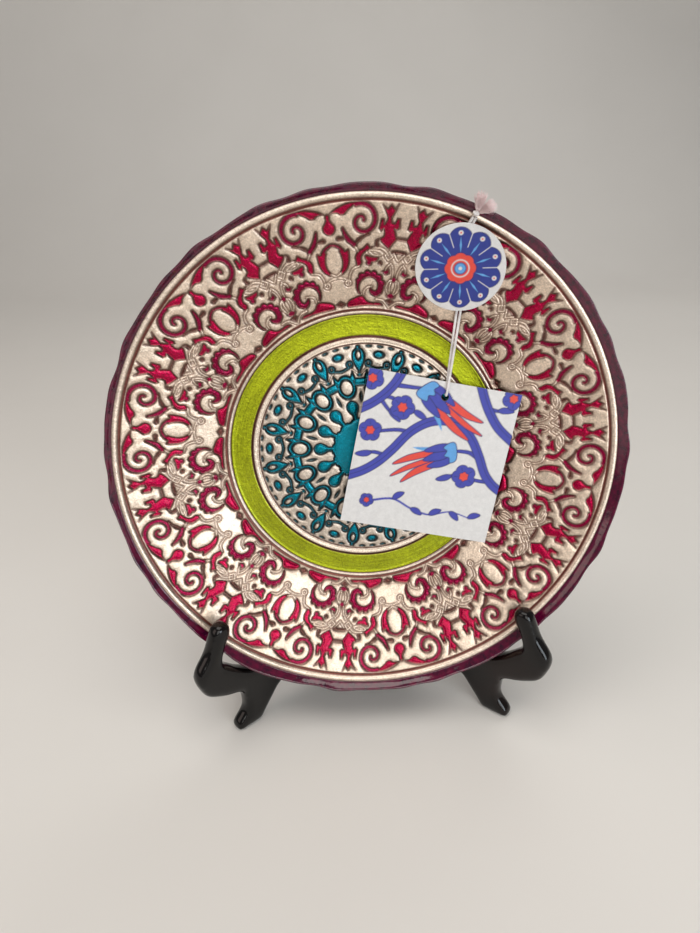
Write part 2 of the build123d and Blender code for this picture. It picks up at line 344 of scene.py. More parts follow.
def half_repeat(radii, repeats, columns):
    """An empty relief over half a repeat, with its points' angles from the axis and radii."""
    t, r = np.meshgrid(np.linspace(0, math.pi / repeats, columns + 1), radii)
    return Relief(t.shape), t, r


def field_patch(radii):
    """The rim's ornament over half a repeat: from a tulip axis to a scroll axis."""
    relief, t, r = half_repeat(radii, FIELD_REPEATS, FIELD_COLUMNS)
    draw_tulip_axis(relief, *polar(r, t))
    draw_scroll_axis(relief, *polar(r, math.pi / FIELD_REPEATS - t))
    return relief


LOOP = [(0, 39.4), (1.2, 41.4), (2.5, 44.0), (3.1, 46.6), (2.8, 49.0), (1.6, 50.7), (0, 51.3)]
SPIKE = [(1.4, 36.6), (3.2, 37.4), (4.9, 40.2), (5.3, 35.6), (3.0, 33.4)]
DROP = [(0, 25.9), (2.1, 24.8), (2.9, 22.6), (2.1, 20.2), (1.1, 18.4), (1.0, 15.0), (-1.0, 15.0),
        (-1.1, 18.4), (-2.1, 20.2), (-2.9, 22.6), (-2.1, 24.8)]


def draw_outer_medallion(relief, x, y, ox, oy):
    """The loops, dots, curls and waves of the medallion's border."""
    half = math.pi / MEDALLION_REPEATS
    radius, angle = np.hypot(x, y), np.arctan2(x, y)
    hole = oval(x, y, 47.7, 1.15, 2.1)
    loop = fill_distance(x, y, smooth(mirrored(LOOP), True, 4))
    relief.enamel(np.maximum(loop, -hole * 1.3), "teal", 0.9, 0.2)
    relief.dots(x, y, [(0, 51.6, 1.0)], "teal")
    relief.enamel(oval(ox, oy, 48.0, 2.6, 1.7) * 1.7, "teal", 0.9, 0.2)
    for share in (0.25, 0.5, 0.75, 1.0):
        across = radius * np.sin(half * 2 * share - angle)
        relief.enamel(oval(across, radius, 52.0, 1.1, 0.6) * 0.7, "teal", 0.4)
    cx, cy = polar(43.6, half * 0.5)
    relief.enamel(np.abs(np.hypot(x - cx, y - cy) - 1.2) - 0.62, "teal", 0.6)
    stem = radius * (angle - half * 0.5)
    wave = radius - (41.6 - 0.5 * np.cos((angle - half) / half * math.pi * 2))
    relief.enamel(np.maximum(np.abs(wave) - 0.6, -stem), "teal", 0.6)
    under = radius - (41.2 - 2.6 * np.cos(angle / half * math.pi) * step(half * 0.55 - angle, -0.02, 0.1))
    relief.raised_line(np.abs(under) + 3 * step(stem, 0.0, 0.6))


def draw_inner_medallion(relief, x, y, ox, oy):
    """The chain of ovals, the drops and the lobed disc of the medallion's middle."""
    radius = np.hypot(x, y)
    bridge = np.maximum(np.abs(radius - 34.6) - 1.9, x - 3.2)
    chain = np.minimum(np.minimum(oval(ox, oy, 32.9, 4.6, 6.0) * 4.6, bridge), fill_distance(ox, oy, SPIKE))
    relief.enamel(np.maximum(chain, -oval(ox, oy, 32.8, 2.95, 3.8) * 3.0), "teal", 1.1, 0.35)
    relief.enamel(oval(x, y, 38.3, 1.1, 0.9), "teal", 0.5)
    relief.enamel(oval(x, y, 27.4, 0.55, 1.7) * 0.6, "teal", 0.4)
    relief.outlines(ox, oy, [DROP], "teal", 0.9, 0.45)
    relief.enamel(np.maximum(radius - 16.6, -oval(x, y, 18.2, 2.0, 2.3) * 2.0), "teal", 1.0, 0.1)


def medallion_patch(radii):
    """The medallion over half a repeat: from a loop's axis to an oval's, half a repeat away."""
    relief, t, r = half_repeat(radii, MEDALLION_REPEATS, MEDALLION_COLUMNS)
    x, y = polar(r, t)
    ox, oy = polar(np.hypot(x, y), math.pi / MEDALLION_REPEATS - np.arctan2(x, y))
    draw_outer_medallion(relief, x, y, ox, oy)
    draw_inner_medallion(relief, x, y, ox, oy)
    return relief


# ---- colours (linear) ----------------------------------------------------------------------------------
GOLD = np.array([0.79, 0.635, 0.505])
# painted highlight: a lighter gold laid on the raised crests of the plain rings and the rim
GOLD_HIGHLIGHT = np.array([0.84, 0.70, 0.58])
GOLD_GREY = np.array([0.70, 0.60, 0.505])
BROWN = np.array([0.085, 0.026, 0.020])
MAGENTA = np.array([0.38, 0.0004, 0.040])
PURPLE = np.array([0.25, 0.0010, 0.038])
TEAL = np.array([0.0, 0.225, 0.31])
TEAL_INK = np.array([0.006, 0.022, 0.026])
GREEN = np.array([0.36, 0.40, 0.012])
BURGUNDY = np.array([0.05, 0.0005, 0.016])
BACK_PAINT = np.array([0.10, 0.045, 0.02])
ENAMELS = {"brown": BROWN * 1.5, "purple": PURPLE, "magenta": MAGENTA, "teal": TEAL}
GOLD_METAL, GOLD_ROUGH = 0.92, 0.33
ENAMEL_METAL, ENAMEL_ROUGH = 0.85, 0.26


def mix(a, b, weight):
    """Mixes b into a, where they have one axis more than the weight."""
    return blend(a, b, weight[..., None])


def blend(a, b, weight):
    return a * (1 - weight) + b * weight


def paint(relief, base, ink, outline, depth):
    """Colours, metallic share and roughness of a patch. The enamel is darkest along its walls, as painted
    shade, and the metal carries painted shade beside the enamel and the grooves.
    """
    shape = relief.line.shape
    colour = np.broadcast_to(base, shape + (3,)).copy()
    metal, rough = np.full(shape, GOLD_METAL), np.full(shape, GOLD_ROUGH)
    # painted shade: brown mixed into the metal where it falls towards the enamel
    shade = np.clip(relief.pillow() * 2.0, 0, 1)
    # the second layer is the painted shade beside the grooves of the raised lines
    for layer, share in ((BROWN * 1.6, 0.42 * shade), (BROWN * 2.2, 0.38 * relief.groove_shade),
                         (ink, outline * relief.line), (GOLD, 0.8 * relief.ridge)):
        colour = mix(colour, layer, share)
    # painted shade: each enamel darkens towards its walls, by depth
    lit = 1 - depth * (1 - step(relief.inside, 0.3, 1.15))
    for name, enamel in ENAMELS.items():
        w = relief.fill[name]
        colour = mix(colour, enamel * lit[..., None], w)
        metal, rough = blend(metal, ENAMEL_METAL, w), blend(rough, ENAMEL_ROUGH, w)
    return colour, metal, rough


def unfold(patch, repeats):
    """Mirrors half a repeat and lays it round the circle."""
    whole = np.concatenate([patch, patch[:, -2:0:-1]], 1)
    return np.concatenate([whole] * repeats, 1)


def base_height(r):
    """The face's height without ornament: flat middle, slope, and flared rim."""
    blur = 0.9
    slope = -SLOPE * (GOLD_RADIUS - r)
    z = blur * np.logaddexp(slope / blur, -BOWL_DEPTH / blur)
    flare = (r - GOLD_RADIUS) * RIM_RISE / (PLATE_RADIUS - 0.6 - GOLD_RADIUS)
    return np.where(r > GOLD_RADIUS, flare, z)


# Painted light in these stops: the lighter gold on the raised crests and the lighter green at 66.4 mm are
# painted highlights, the darker green at 66.8 mm is painted shade, and the brown from 69.1 to 69.8 mm is a
# painted shadow below the ring.
RING_STOPS = [  # radius, height, colour: the ridges on both sides of the plain ring
    (52.6, 0.0, GOLD), (52.9, -0.35, BROWN), (53.3, -0.3, BROWN), (53.7, 0.25, GOLD_HIGHLIGHT),
    (54.2, 0.15, GOLD), (54.5, 0.3, GOLD_HIGHLIGHT), (55.6, 0.45, GOLD_HIGHLIGHT), (56.1, 0.1, BROWN),
    (57.0, -0.3, BROWN), (57.5, 0.0, GREEN), (65.9, 0.0, GREEN), (66.4, 0.35, GREEN * 1.25),
    (66.8, 0.1, GREEN * 0.6), (67.2, -0.2, BROWN), (67.6, 0.3, GOLD_HIGHLIGHT), (68.3, 0.4, GOLD_HIGHLIGHT),
    (68.7, -0.2, BROWN), (69.1, 0.0, BROWN * 1.8), (69.8, 0.0, BROWN * 1.6), (70.3, 0.0, GOLD)]
# painted highlight: the lighter gold on the raised ring from 117.9 to 119.6 mm
RIM_STOPS = [
    (115.6, 0.0, GOLD), (116.0, -0.1, GOLD), (116.4, -0.5, BROWN * 1.6), (117.5, -0.5, BROWN * 1.6),
    (117.9, 0.1, GOLD_HIGHLIGHT), (118.6, 0.35, GOLD_HIGHLIGHT), (119.6, 0.1, GOLD_HIGHLIGHT), (119.95, -0.25, BROWN),
    (120.3, -0.1, BURGUNDY), (125.0, 0.0, BURGUNDY)]


def profile(stops, r):
    """Height and colour along a list of stops."""
    at, height, colour = zip(*stops)
    colour = np.stack([np.interp(r, at, shade) for shade in np.array(colour).T], -1)
    return np.interp(r, at, height), colour


# ---- the plate's mesh ------------------------------------------------------------------------------------
def around(count, phase=0.0):
    """Evenly spaced angles."""
    return phase + np.arange(count) * 2 * math.pi / count


class Rings:
    """A closed surface built ring by ring; neighbouring zones may have different column counts."""

    def __init__(self):
        self.places, self.colour, self.finish = [], [], []
        self.starts, self.counts = [], []
        self.total = 0

    def add(self, radius, height, theta, colour, metal, rough):
        """A ring at the angles theta; any other value may be one for the whole ring."""
        n = len(theta)
        level = np.broadcast_to(height, (n,))
        self.places.append(np.stack([radius * np.sin(theta), radius * np.cos(theta), level], 1))
        self.colour.append(np.broadcast_to(colour, (n, 3)))
        self.finish.append(np.stack([np.broadcast_to(metal, (n,)), np.broadcast_to(rough, (n,))], 1))
        self.starts.append(self.total)
        self.counts.append(n)
        self.total += n

    def faces(self):
        """Vertex indices of every face, and each face's size."""
        loops, sizes = [], []
        for a, n, b, m in zip(self.starts, self.counts, self.starts[1:], self.counts[1:]):
            inner, outer = max(m // n, 1), max(n // m, 1)
            k = np.arange(min(n, m))
            near = [a + (k * outer + j) % n for j in range(outer, -1, -1)]
            far = [b + (k * inner + j) % m for j in range(inner + 1)]
            few, many = (far, near) if n > m else (near, far)
            fan = few[-1:] + many + few[:-1]
            loops.append(np.stack(fan, 1).ravel())
            sizes.append(np.full(len(k), len(fan)))
        last = self.starts[-1] + np.arange(self.counts[-1])
        for cap in (self.starts[0] + np.arange(self.counts[0]), last[::-1]):
            loops.append(cap)
            sizes.append(np.array([len(cap)]))
        return np.concatenate(loops), np.concatenate(sizes)


def mesh_from(name, points, loops, sizes):
    """A mesh object from frame points in metres and flat face lists."""
    mesh = bpy.data.meshes.new(name)
    mesh.vertices.add(len(points))
    mesh.vertices.foreach_set("co", np.asarray(points, np.float32).ravel())
    mesh.loops.add(len(loops))
    mesh.loops.foreach_set("vertex_index", np.asarray(loops, np.int32))
    mesh.polygons.add(len(sizes))
    starts = np.concatenate([[0], np.cumsum(sizes)[:-1]])
    mesh.polygons.foreach_set("loop_start", starts.astype(np.int32))
    mesh.update(calc_edges=True)
    mesh.validate()
    mesh.shade_smooth()
    obj = bpy.data.objects.new(name, mesh)
    bpy.context.scene.collection.objects.link(obj)
    return obj


def set_colour(obj, name, values):
    """Puts a colour on every vertex, for the material to read."""
    attribute = obj.data.attributes.new(name, "FLOAT_COLOR", "POINT")
    data = np.column_stack([values, np.ones(len(values))]).astype(np.float32)
    attribute.data.foreach_set("color", data.ravel())


def set_vector(obj, name, values):
    attribute = obj.data.attributes.new(name, "FLOAT_VECTOR", "POINT")
    attribute.data.foreach_set("vector", np.asarray(values, np.float32).ravel())


REST_ANGLE = math.radians(151.0)          # where the edge stands on the stand's two hooks


def waviness(theta):
    """How far the hand-finished outer edge runs out, in mm, against its middle radius."""
    turn = np.angle(np.exp(1j * theta))
    wave = 0.85 * np.sin(theta) - 0.4 * np.cos(theta)
    ripples = ((0.28, 29, 0.6), (0.25, 19, 2.1), (0.16, 43, 4.0))
    wave += sum(size * np.sin(count * theta + phase) for size, count, phase in ripples)
    rest = np.exp(-(((np.abs(turn) - REST_ANGLE) / 0.14) ** 2))
    return wave * (1 - rest) + 1.2 * rest


def ornamented_zone(rings, radii, relief, looks, borders, repeats, phase):
    """Lays a patch round the plate. borders are plain profiles, each with where it takes over."""
    colour, metal, rough = paint(relief, *looks)
    height = relief.height()
    for stops, weight in borders:
        border_height, border_colour = profile(stops, radii)
        height = blend(height, border_height[:, None], weight[:, None])
        colour = mix(colour, border_colour[:, None, :], weight[:, None])
    height, colour, metal, rough = (unfold(v, repeats) for v in (height, colour, metal, rough))
    theta = around(height.shape[1], phase)
    for i, r in enumerate(radii):
        rings.add(r, base_height(r) + height[i], theta, colour[i], metal[i], rough[i])


RIM_EDGE = [  # radius, height, and how much of the edge's waviness it has
    (120.4, 0.05, 0.0), (120.9, 0.45, 0.1), (121.4, 1.0, 0.3), (121.9, 1.6, 0.5), (122.4, 2.15, 0.7),
    (122.8, 2.5, 0.85), (123.15, 2.65, 0.95), (123.45, 2.55, 1.0), (123.7, 2.2, 1.0), (123.8, 1.6, 1.0),
    (123.8, 0.6, 1.0), (123.6, -0.6, 1.0), (123.1, -1.7, 0.9), (122.2, -2.9, 0.7), (121.2, -3.9, 0.4),
    (120.2, -4.7, 0.2), (119.3, -5.2, 0.1)]
BACK = [(118.6, -5.6), (112.0, -8.2), (100.0, -12.8), (90.0, -16.7), (80.0, -20.6), (70.0, -24.5),
        (67.8, -25.3), (66.0, -25.6), (62.0, -25.62), (40.0, -25.62), (20.0, -25.62), (2.0, -25.62)]
DISC_SUNK = 1.25
DISC_STEP, RING_STEP = 0.7, 0.25           # mm between two rings of points, where they aren't CELL
DISC_RADIUS, MEDALLION_RADIUS = 15.0, 53.0
RING_FROM, RING_TO = 53.2, 67.0
FIELD_FROM, FIELD_TO = 67.2, 120.2
# the metal, the ink of its outlines, how strong they are, and how dark the painted shade on the enamel's
# walls is
MEDALLION_PAINT = (GOLD_GREY, TEAL_INK, 0.92, 0.7)
FIELD_PAINT = (GOLD, BROWN, 0.75, 0.2)


def plate_rings():
    """The plate's whole surface, from the middle of its face round to the middle of its back."""
    rings = Rings()
    middle = around(MEDALLION_REPEATS * MEDALLION_COLUMNS * 2 // 5, MEDALLION_PHASE)
    for r in np.arange(0.4, DISC_RADIUS, DISC_STEP):
        rings.add(r, base_height(r) - DISC_SUNK, middle, TEAL, 0.45, 0.2)
    radii = np.arange(DISC_RADIUS, MEDALLION_RADIUS, CELL)
    borders = [(RING_STOPS, step(radii, 52.4, 52.7))]
    ornamented_zone(rings, radii, medallion_patch(radii), MEDALLION_PAINT, borders, MEDALLION_REPEATS,
                    MEDALLION_PHASE)
    columns = FIELD_REPEATS * FIELD_COLUMNS
    for r in np.arange(RING_FROM, RING_TO, RING_STEP):
        height, colour = profile(RING_STOPS, r)
        rings.add(r, base_height(r) + height, around(columns, MEDALLION_PHASE), colour, 0.8, 0.3)
    radii = np.arange(FIELD_FROM, FIELD_TO, CELL)
    borders = [(RING_STOPS, 1 - step(radii, 69.6, 70.4)), (RIM_STOPS, step(radii, 115.9, 116.3))]
    ornamented_zone(rings, radii, field_patch(radii), FIELD_PAINT, borders, FIELD_REPEATS, FIELD_PHASE)
    theta = around(columns, FIELD_PHASE)
    wave = waviness(theta)
    rim_starts = rings.total
    for r, z, share in RIM_EDGE:
        rings.add(r + wave * share, z + wave * share * 0.4, theta, BURGUNDY, 0.0, 0.1)
    back_starts = rings.total
    for r, z in BACK:
        rings.add(r, z, theta[::3], BACK_PAINT, 0.5, 0.4)
    which = np.arange(rings.total)
    return rings, (which >= rim_starts).astype(int) + (which >= back_starts)


def build_plate():
    """The plate's mesh, with a material each for its face, its edge and its back."""
    rings, part = plate_rings()
    places = np.concatenate(rings.places)
    x, y, _ = places.T
    loops, sizes = rings.faces()
    made = mesh_from("plate_glass", to_frame(*places.T), loops, sizes)
    radius = np.hypot(x, y)
    safe = np.maximum(radius, 1e-6)
    brushed = 0.25 + 0.75 * step(radius, 56.5, 57.5) * (1 - step(radius, 65.5, 66.5))
    set_colour(made, "paint", np.concatenate(rings.colour))
    set_vector(made, "finish", np.column_stack([np.concatenate(rings.finish), brushed]))
    set_vector(made, "rings", np.stack([0.3 * x / safe, 0.3 * y / safe, radius / 7], 1))
    set_vector(made, "flat", places)
    first = np.concatenate([[0], np.cumsum(sizes)[:-1]])
    parts = part[loops[first + sizes // 2]]
    made.data.polygons.foreach_set("material_index", parts.astype(np.int32))
    return made


# ---- materials -------------------------------------------------------------------------------------------
class Look:
    """A node material. Its methods add a node and return that node's output."""

    def __init__(self, name, **constants):
        self.material = bpy.data.materials.new(name)
        self.material.use_nodes = True
        self.tree = self.material.node_tree
        self.shader = self.tree.nodes["Principled BSDF"]
        self.fill(self.shader, constants)

    def fill(self, made, inputs):
        """Sets a node's inputs: each is a constant, or the output that feeds it."""
        for key, value in inputs.items():
            socket = made.inputs[key.replace("_", " ") if isinstance(key, str) else key]
            if isinstance(value, bpy.types.NodeSocket):
                self.tree.links.new(value, socket)
            else:
                socket.default_value = value

    def add(self, kind, output, inputs, **settings):
        made = self.tree.nodes.new(kind)
        for key, value in settings.items():
            setattr(made, key, value)
        self.fill(made, inputs)
        return made.outputs[output]

    def attribute(self, name, output="Vector"):
        return self.add("ShaderNodeAttribute", output, {}, attribute_name=name)

    def place(self):
        return self.add("ShaderNodeTexCoord", "Object", {})

    def noise(self, vector, scale, detail=4.0, roughness=0.5):
        inputs = {"Vector": vector, "Scale": scale, "Detail": detail, "Roughness": roughness}
        return self.add("ShaderNodeTexNoise", "Fac", inputs)

    def ramp(self, value, low, high, low_at=0.3, high_at=0.7):
        """Stretches a value that runs from low_at to high_at."""
        inputs = {"Value": value, "From_Min": low_at, "From_Max": high_at, "To_Min": low, "To_Max": high}
        return self.add("ShaderNodeMapRange", "Result", inputs)

    def math(self, operation, a, b):
        return self.add("ShaderNodeMath", 0, {0: a, 1: b}, operation=operation)

    def blend(self, share, low, high):
        """One of two colours, or between them."""
        return self.add("ShaderNodeMix", 2, {0: share, 6: (*low, 1), 7: (*high, 1)}, data_type="RGBA")

    def tint(self, colour, factor):
        """Multiplies a colour by a grey factor."""
        return self.add("ShaderNodeVectorMath", 0, {0: colour, "Scale": factor}, operation="SCALE")

    def bump(self, height, strength, distance):
        inputs = {"Height": height, "Strength": strength, "Distance": distance}
        return self.add("ShaderNodeBump", "Normal", inputs)

    def done(self, **outputs):
        """Feeds the shader, and gives the finished material."""
        self.fill(self.shader, outputs)
        return self.material


def plate_material():
    """Painted enamel and metal: its colour and gloss come with the mesh, its streaks and grain from here."""
    look = Look("plate_enamel", Coat_Weight=0.22, Coat_Roughness=0.05, Coat_IOR=1.45, Specular_IOR_Level=0.2)
    finish = look.attribute("finish")
    metal, rough, brushing = look.add("ShaderNodeSeparateXYZ", 0, {0: finish}).node.outputs
    flat = look.attribute("flat")
    brushed = look.noise(look.attribute("rings"), 14.0, 3.0, 0.6)
    grains = look.noise(flat, 1.3, 5.0, 0.65)
    lumps = look.noise(flat, 0.5, 3.0, 0.6)
    clouds = look.noise(flat, 0.06, 3.0, 0.5)
    streaks = look.math("ADD", look.math("MULTIPLY", look.ramp(brushed, -0.28, 0.28), brushing), 1.0)
    factor = look.math("MULTIPLY", look.ramp(grains, 0.70, 1.22), streaks)
    factor = look.math("MULTIPLY", factor, look.ramp(clouds, 0.88, 1.08))
    factor = look.math("MULTIPLY", factor, look.ramp(lumps, 0.84, 1.08))
    surface = look.math("ADD", grains, look.math("MULTIPLY", lumps, 1.6))
    return look.done(Base_Color=look.tint(look.attribute("paint", "Color"), factor), Metallic=metal,
                     Roughness=look.math("ADD", rough, look.ramp(grains, -0.05, 0.08)),
                     Normal=look.bump(surface, 0.4, 0.0003))


def rim_material():
    look = Look("rim_glass", Roughness=0.08, Coat_Weight=0.5, Coat_Roughness=0.03)
    depth = look.noise(look.attribute("flat"), 0.35, 3.0, 0.5)
    streaks = look.noise(look.attribute("rings"), 6.0, 2.0, 0.5)
    colour = look.blend(look.ramp(depth, 0.0, 1.0), (0.030, 0.0006, 0.014), (0.115, 0.0008, 0.026))
    return look.done(Base_Color=look.tint(colour, look.ramp(streaks, 0.7, 1.2)),
                     Normal=look.bump(depth, 0.2, 0.0006))


def back_material():
    look = Look("back_paint", Roughness=0.35, Coat_Weight=0.4, Coat_Roughness=0.1)
    streaks = look.noise(look.attribute("rings"), 9.0, 3.0, 0.6)
    speckle = look.noise(look.attribute("flat"), 0.9, 5.0, 0.7)
    colour = look.blend(look.ramp(streaks, 0.0, 1.0), (0.050, 0.010, 0.013), (0.072, 0.016, 0.019))
    return look.done(Base_Color=look.tint(colour, look.ramp(speckle, 0.75, 1.2)),
                     Normal=look.bump(speckle, 0.3, 0.0004))


def paper_material(name, gloss):
    look = Look(name, Coat_Weight=gloss, Coat_Roughness=0.25, Roughness=0.55)
    fibres = look.noise(look.place(), 2600.0, 3.0, 0.6)
    clouds = look.noise(look.place(), 420.0, 4.0, 0.6)
    factor = look.math("MULTIPLY", look.ramp(fibres, 0.93, 1.04), look.ramp(clouds, 0.93, 1.05))
    return look.done(Base_Color=look.tint(look.attribute("paint", "Color"), factor),
                     Normal=look.bump(fibres, 0.25, 0.00008))


def yarn_material(name, shade, bright):
    look = Look(name, Roughness=0.85, Sheen_Weight=0.3, Sheen_Roughness=0.5)
    fuzz = look.noise(look.place(), 5000.0, 3.0, 0.7)
    clouds = look.noise(look.place(), 220.0, 2.0, 0.5)
    colour = look.blend(look.ramp(clouds, 0, 1), [c * 0.8 for c in shade], bright)
    return look.done(Base_Color=look.tint(colour, look.ramp(fuzz, 0.82, 1.1)),
                     Normal=look.bump(fuzz, 0.4, 0.00008))


def lacquer_material():
    look = Look("black_lacquer", Coat_Weight=0.5, Coat_Roughness=0.05, Roughness=0.16, Specular_IOR_Level=0.1)
    grain = look.noise(look.place(), 90.0, 4.0, 0.6)
    wear = look.ramp(look.noise(look.place(), 14.0, 3.0, 0.5), 0.0, 1.0, 0.5, 0.75)
    return look.done(Base_Color=look.blend(wear, (0.0028, 0.0022, 0.0022), (0.012, 0.0035, 0.0025)),
                     Normal=look.bump(grain, 0.12, 0.0004))


def brass_material():
    look = Look("pin_brass", Metallic=1.0)
    tarnish = look.noise(look.place(), 400.0, 4.0, 0.6)
    return look.done(Base_Color=look.blend(tarnish, (0.42, 0.28, 0.10), (0.70, 0.52, 0.22)),
                     Roughness=look.ramp(tarnish, 0.22, 0.45))


def backdrop_material():
    look = Look("backdrop", Roughness=0.75)
    mottle = look.noise(look.place(), 6.0, 3.0)
    return look.done(Base_Color=look.blend(mottle, (0.72, 0.70, 0.67), (0.77, 0.75, 0.72)))


plate = build_plate()
for made in (plate_material(), rim_material(), back_material()):
    plate.data.materials.append(made)
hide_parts("glass_plate")
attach(plate, "plate")


# ---- printed paper -----------------------------------------------------------------------------------------
PAPER = np.array([0.68, 0.67, 0.665])
INK_BLUE = np.array([0.038, 0.048, 0.37])
INK_DARK = np.array([0.014, 0.014, 0.13])
INK_CORAL = np.array([0.72, 0.055, 0.032])
INK_SKY = np.array([0.10, 0.33, 0.68])
LABEL_BLUE = np.array([0.010, 0.026, 0.24])
BLUR = 0.22                               # half the width of an inked edge, in mm
OUTLINE = 0.42                            # how far a shape's outline runs out

TWIG_LEAF = [(-4.2, 0.0), (-2.0, 1.5), (1.4, 1.3), (3.6, 0.0), (1.0, -0.9), (-2.2, -1.0)]
TULIP_PETALS = [[(5, 1.5), (16, 1.8), (24, 3.0), (31, 6.8), (23, 5.6), (14, 4.8), (6, 4.0)],
                [(5, -1.2), (17, -0.7), (27, -0.2), (35, 2.2), (27, 1.9), (17, 1.4), (6, 1.0)],
                [(6, -4.2), (15, -4.6), (24, -5.2), (32, -3.4), (24, -2.4), (15, -1.7), (6, -1.6)]]
TULIP_SIDE = [(7, -5.0), (13, -6.2), (20, -8.4), (14, -4.4)]
TULIP_SEPALS = [[(0, 0), (2, 3.8), (6, 5.4), (11, 5.4), (16, 3.4), (11, 2.0), (6, 1.0)],
                [(0, 0), (6, 2.0), (11, 1.8), (17, -0.4), (11, -2.2), (5, -1.6)],
                [(0, 0), (4, -1.4), (10, -2.6), (15, -4.8), (9, -5.8), (3, -4.4)]]
TULIP_CAP = [(-0.6, -3.0), (1.6, -4.6), (5.4, -3.4), (4.2, -1.2), (6.2, 0.8), (4.2, 2.4), (4.6, 5.0),
             (1.2, 4.2)]


class Print:
    """Flat inks laid on paper, each shape over those before it."""

    def __init__(self, x, y):
        self.x, self.y = x, y
        self.colour = np.broadcast_to(PAPER, x.shape + (3,)).copy()

    def ink(self, d, colour, outline=None):
        """Inks where d is negative, with an outline of another ink round it."""
        if outline is not None:
            w = 1 - step(d, OUTLINE - BLUR, OUTLINE + BLUR)
            self.colour = mix(self.colour, outline, w)
        w = 1 - step(d, -BLUR, BLUR)
        self.colour = mix(self.colour, colour, w)

    def line(self, points, widths, colour=INK_BLUE, outline=INK_DARK):
        self.ink(stroke_distance(self.x, self.y, smooth(points), widths), colour, outline)

    def shape(self, points, place, colour=INK_BLUE, outline=INK_DARK):
        """A closed shape, moved to its place: x, y, degrees and size."""
        cx, cy, degrees, size = place
        a = math.radians(degrees)
        px, py = (np.array(points, float) * size).T
        x = cx + px * math.cos(a) - py * math.sin(a)
        y = cy + px * math.sin(a) + py * math.cos(a)
        outline_points = smooth(np.stack([x, y], 1), True, 4)
        self.ink(fill_distance(self.x, self.y, outline_points), colour, outline)

    def flower(self, cx, cy, size, turn=0.0, petals=5):
        """A round flower with lobed, veined petals."""
        dx, dy = self.x - cx, self.y - cy
        radius, angle = np.hypot(dx, dy), np.arctan2(dy, dx) + turn
        lobes = size * (0.80 + 0.20 * np.abs(np.cos(angle * petals / 2)) ** 0.6)
        self.ink(radius - lobes, INK_BLUE, INK_DARK)
        vein = np.abs(np.sin(angle * petals / 2)) * radius * 2 / petals
        self.ink(np.maximum(vein - 0.16, np.abs(radius - 0.68 * size) - 0.16 * size), INK_DARK)
        heart = size * (0.36 + 0.04 * np.cos(angle * 6))
        self.ink(radius - heart, INK_CORAL, INK_DARK)

    def tulip(self, *place):
        """A closed tulip lying along +x from its base: long coral petals, then blue sepals."""
        for petal in TULIP_PETALS:
            self.shape(petal, place, INK_CORAL)
        self.shape(TULIP_SIDE, place, INK_SKY, None)
        for sepal in TULIP_SEPALS:
            self.shape(sepal, place)
        self.shape(TULIP_CAP, place, INK_SKY)

    def twig(self, points):
        """A thin stem that ends in a leaf."""
        self.line(points, [0.7, 0.4])
        tip = np.array(points[-1], float)
        way = np.degrees(np.arctan2(*(tip - np.array(points[-2]))[::-1]))
        self.shape(TWIG_LEAF, (*tip, way, 1.0))


CARD_WIDTH, CARD_HEIGHT, CARD_THICK = 76.0, 78.5, 0.5
CARD_CENTRE = (31.5, -4.1)
CARD_TURN = math.radians(-12.1)
SHARP_ANGLE = math.radians(50)            # a sheet's cut edges stay crisp
CARD_DEPTH = 13.9
CARD_BOW = 0.18                           # how far the paper curls
HOLE_AT = (0.8, CARD_HEIGHT / 2 - 7.6)
HOLE_RADIUS = 1.95
VINE = [(-39, -15.4), (-32, -11.6), (-25.4, -6.0), (-19.2, 1.8), (-12.6, 11.6), (-4.6, 18.0), (3.8, 20.2),
        (11.6, 18.8), (18.6, 13.2), (24.2, 5.2), (29.0, -3.0), (34.0, -8.0), (39.2, -11.0)]
VINE_LEFT = [(-39.2, 19.0), (-34.0, 22.6), (-28.6, 28.0), (-24.6, 34.0), (-22.2, 40.0)]
VINE_RIGHT = [(17.2, 40.0), (20.2, 34.2), (24.2, 28.0), (30.4, 21.0), (39.2, 15.2)]


TWIGS = [[(-30.0, 25.6), (-25.4, 21.2), (-21.4, 18.2)], [(22.4, 30.0), (27.2, 29.4), (32.4, 30.0)],
         [(-22.0, -2.0), (-27.8, -1.2), (-33.4, -2.6)]]
STALKS = [  # points, and half widths from one end to the other
    ([(-12.6, 11.6), (-19.0, 11.8), (-28.0, 9.6)], [0.7, 0.45]),
    ([(-29.0, 27.2), (-24.0, 26.8), (-19.4, 24.4)], [0.7, 0.45]),
    ([(-25.0, 33.4), (-18.0, 33.6), (-11.4, 34.0)], [0.9, 0.5]),
    ([(25.0, 3.6), (19.0, 6.4), (12.6, 6.2)], [0.9, 0.5]),
    ([(32.6, -6.8), (26.6, -7.2), (20.4, -6.4)], [0.7, 0.45])]
TWIGS_OVER_STALKS = [[(14.6, -6.6), (11.6, -7.2), (8.8, -8.4)], [(-15.6, 21.6), (-12.2, 22.2), (-9.0, 20.6)]]
FLOWERS = [  # x, y, size, turn
    (-35.6, 34.8, 5.4, 0.3), (-18.6, 23.2, 5.9, 0.0), (-32.0, 9.4, 5.5, 0.8), (19.0, -6.2, 5.9, 0.5),
    (34.4, 36.6, 5.4, 0.2)]
SPRAY = [(-24.0, -26.0), (-14.0, -23.6), (-4.0, -27.2), (6.0, -29.0), (16.0, -25.8), (26.0, -27.4)]
SPRAY_LEAF = [(0, 0), (1.6, 1.5), (4.0, 1.7), (6.4, 0.2), (4.0, -0.8), (1.6, -0.8)]


